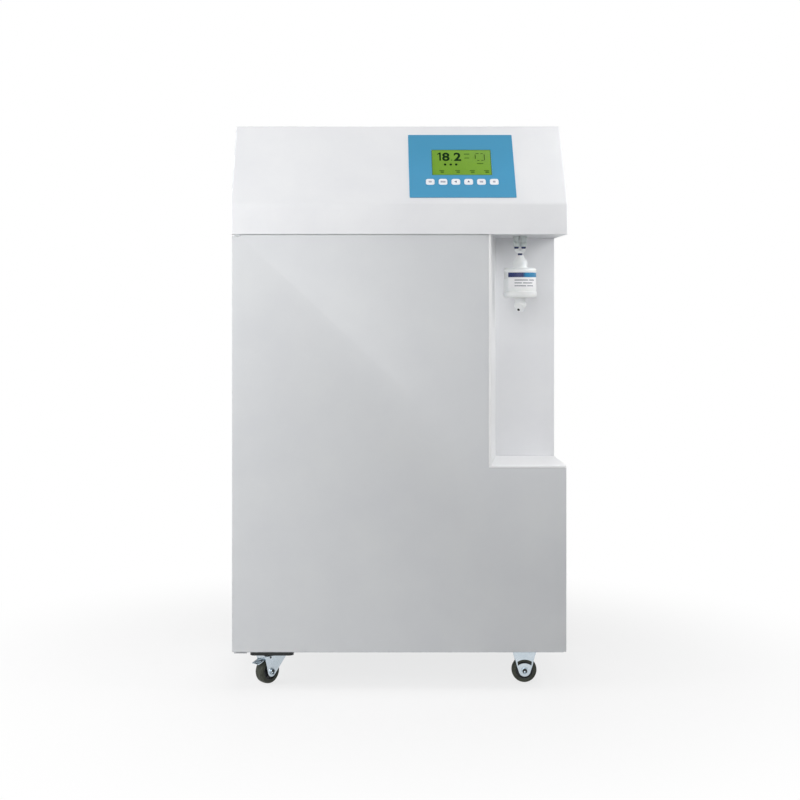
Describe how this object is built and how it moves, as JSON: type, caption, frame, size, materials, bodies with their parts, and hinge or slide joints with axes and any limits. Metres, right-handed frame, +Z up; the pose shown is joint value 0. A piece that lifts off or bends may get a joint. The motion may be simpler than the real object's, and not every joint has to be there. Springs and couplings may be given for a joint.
{
  "type": "laboratory water purifier",
  "caption": "Floor-standing sheet-steel cabinet on casters that purifies water, with a slanted control panel, a hinged front door and an open dispensing niche with a capsule filter.",
  "frame": {"origin": "on the floor under the middle of the whole part", "axes": "+Z up, the front faces -Y, +X on the right of someone who faces the front"},
  "size_m": [0.64, 0.482, 1.087],
  "materials": {
    "white_enamel": "white textured powder coat on sheet steel",
    "grey_enamel": "silver-grey powder coat on sheet steel",
    "galvanised": "bare galvanised sheet steel",
    "supply_case": "folded aluminium case",
    "zinc": "bright zinc plate on pressed steel",
    "black_steel": "black electrocoat on pressed steel",
    "magnet": "black catch with a ferrite magnet",
    "blue_film": "printed polyester film",
    "key_white": "white moulded key",
    "display": "green liquid-crystal display",
    "board": "green circuit board",
    "white_plastic": "moulded white polypropylene",
    "blue_plastic": "moulded blue polypropylene",
    "black_plastic": "moulded black plastic",
    "tube_plastic": "white polyethylene tube",
    "wheel_rubber": "dark grey-green rubber"
  },
  "bodies": {
    "cabinet": {"left_side_panel": "white_enamel", "right_side_panel": "white_enamel", "rear_panel": "white_enamel", "hood_deck": "white_enamel", "hood_cover": "white_enamel", "niche_side_wall": "white_enamel", "niche_back_wall": "white_enamel", "niche_floor": "white_enamel", "base_pan": "galvanised", "mounting_plate": "galvanised", "power_supply": "supply_case", "hinge_bracket_lower": "zinc", "hinge_bracket_upper": "zinc", "caster_fork_front_right": "zinc", "caster_fork_rear_right": "zinc", "caster_axle_front_right": "zinc", "caster_axle_rear_right": "zinc", "caster_mount_front_left": "black_steel", "caster_mount_rear_left": "black_steel", "door_catch": "magnet", "control_overlay": "blue_film", "display_module": "display", "control_board": "board", "dispense_fitting_left": "white_plastic", "dispense_fitting_right": "white_plastic", "wye_connector": "white_plastic", "filter_capsule": "white_plastic", "outlet_nozzle": "white_plastic", "prefilter_sump_left": "white_plastic", "prefilter_sump_right": "white_plastic", "ro_vessel": "white_plastic", "prefilter_manifold": "blue_plastic", "di_column": "blue_plastic", "booster_pump": "black_plastic", "rear_port_block": "black_plastic", "mains_inlet": "black_plastic", "feed_tube": "tube_plastic", "suction_tube": "tube_plastic", "pressure_tube": "tube_plastic", "permeate_tube": "tube_plastic", "product_tube": "tube_plastic"},
    "door": {"front_door": "grey_enamel"},
    "switch_rocker": {"power_switch": "black_plastic"},
    "fork_front_left": {"caster_fork_front_left": "zinc", "caster_axle_front_left": "zinc"},
    "fork_rear_left": {"caster_fork_rear_left": "zinc", "caster_axle_rear_left": "zinc"},
    "wheel_front_left": {"caster_wheel_front_left": "wheel_rubber"},
    "wheel_rear_left": {"caster_wheel_rear_left": "wheel_rubber"},
    "wheel_front_right": {"caster_wheel_front_right": "wheel_rubber"},
    "wheel_rear_right": {"caster_wheel_rear_right": "wheel_rubber"},
    "brake_front_left": {"brake_lever_front_left": "zinc"},
    "brake_rear_left": {"brake_lever_rear_left": "zinc"},
    "key_body_1": {"key_1": "key_white"},
    "key_body_2": {"key_2": "key_white"},
    "key_body_3": {"key_3": "key_white"},
    "key_body_4": {"key_4": "key_white"},
    "key_body_5": {"key_5": "key_white"},
    "key_body_6": {"key_6": "key_white"}
  },
  "joints": [
    {"name": "door_hinge", "type": "hinge", "parent": "cabinet", "child": "door", "pos_m": [-0.311, -0.2305, 0.45], "axis": [0, 0, -1], "range_deg": [0, 110]},
    {"name": "power_switch_rock", "type": "hinge", "parent": "cabinet", "child": "switch_rocker", "pos_m": [0.22, 0.222, 0.2085], "axis": [-1, 0, 0], "range_deg": [0, 14]},
    {"name": "swivel_front_left", "type": "hinge", "parent": "cabinet", "child": "fork_front_left", "pos_m": [-0.2447, -0.17, 0.055], "axis": [0, 0, 1], "continuous": true},
    {"name": "swivel_rear_left", "type": "hinge", "parent": "cabinet", "child": "fork_rear_left", "pos_m": [-0.2447, 0.148, 0.055], "axis": [0, 0, 1], "continuous": true},
    {"name": "roll_front_left", "type": "hinge", "parent": "fork_front_left", "child": "wheel_front_left", "pos_m": [-0.25425, -0.17955, 0.02429], "axis": [-0.7071, 0.7071, 0], "continuous": true},
    {"name": "roll_rear_left", "type": "hinge", "parent": "fork_rear_left", "child": "wheel_rear_left", "pos_m": [-0.2582, 0.148, 0.02429], "axis": [0, 1, 0], "continuous": true},
    {"name": "roll_front_right", "type": "hinge", "parent": "cabinet", "child": "wheel_front_right", "pos_m": [0.2447, -0.17, 0.02429], "axis": [0, 1, 0], "continuous": true},
    {"name": "roll_rear_right", "type": "hinge", "parent": "cabinet", "child": "wheel_rear_right", "pos_m": [0.2447, 0.148, 0.02429], "axis": [0, 1, 0], "continuous": true},
    {"name": "brake_front_left_tip", "type": "hinge", "parent": "fork_front_left", "child": "brake_front_left", "pos_m": [-0.25672, -0.18202, 0.0519], "axis": [0.7071, -0.7071, 0], "range_deg": [0, 8]},
    {"name": "brake_rear_left_tip", "type": "hinge", "parent": "fork_rear_left", "child": "brake_rear_left", "pos_m": [-0.2617, 0.148, 0.0519], "axis": [0, -1, 0], "range_deg": [0, 8]},
    {"name": "key_1_press", "type": "slide", "parent": "cabinet", "child": "key_body_1", "axis": [0, 0.7994, -0.6008], "range_m": [0, 0.0004], "stiffness_N_per_m": 1500, "springref_m": -0.0003},
    {"name": "key_2_press", "type": "slide", "parent": "cabinet", "child": "key_body_2", "axis": [0, 0.7994, -0.6008], "range_m": [0, 0.0004], "stiffness_N_per_m": 1500, "springref_m": -0.0003},
    {"name": "key_3_press", "type": "slide", "parent": "cabinet", "child": "key_body_3", "axis": [0, 0.7994, -0.6008], "range_m": [0, 0.0004], "stiffness_N_per_m": 1500, "springref_m": -0.0003},
    {"name": "key_4_press", "type": "slide", "parent": "cabinet", "child": "key_body_4", "axis": [0, 0.7994, -0.6008], "range_m": [0, 0.0004], "stiffness_N_per_m": 1500, "springref_m": -0.0003},
    {"name": "key_5_press", "type": "slide", "parent": "cabinet", "child": "key_body_5", "axis": [0, 0.7994, -0.6008], "range_m": [0, 0.0004], "stiffness_N_per_m": 1500, "springref_m": -0.0003},
    {"name": "key_6_press", "type": "slide", "parent": "cabinet", "child": "key_body_6", "axis": [0, 0.7994, -0.6008], "range_m": [0, 0.0004], "stiffness_N_per_m": 1500, "springref_m": -0.0003}
  ]
}
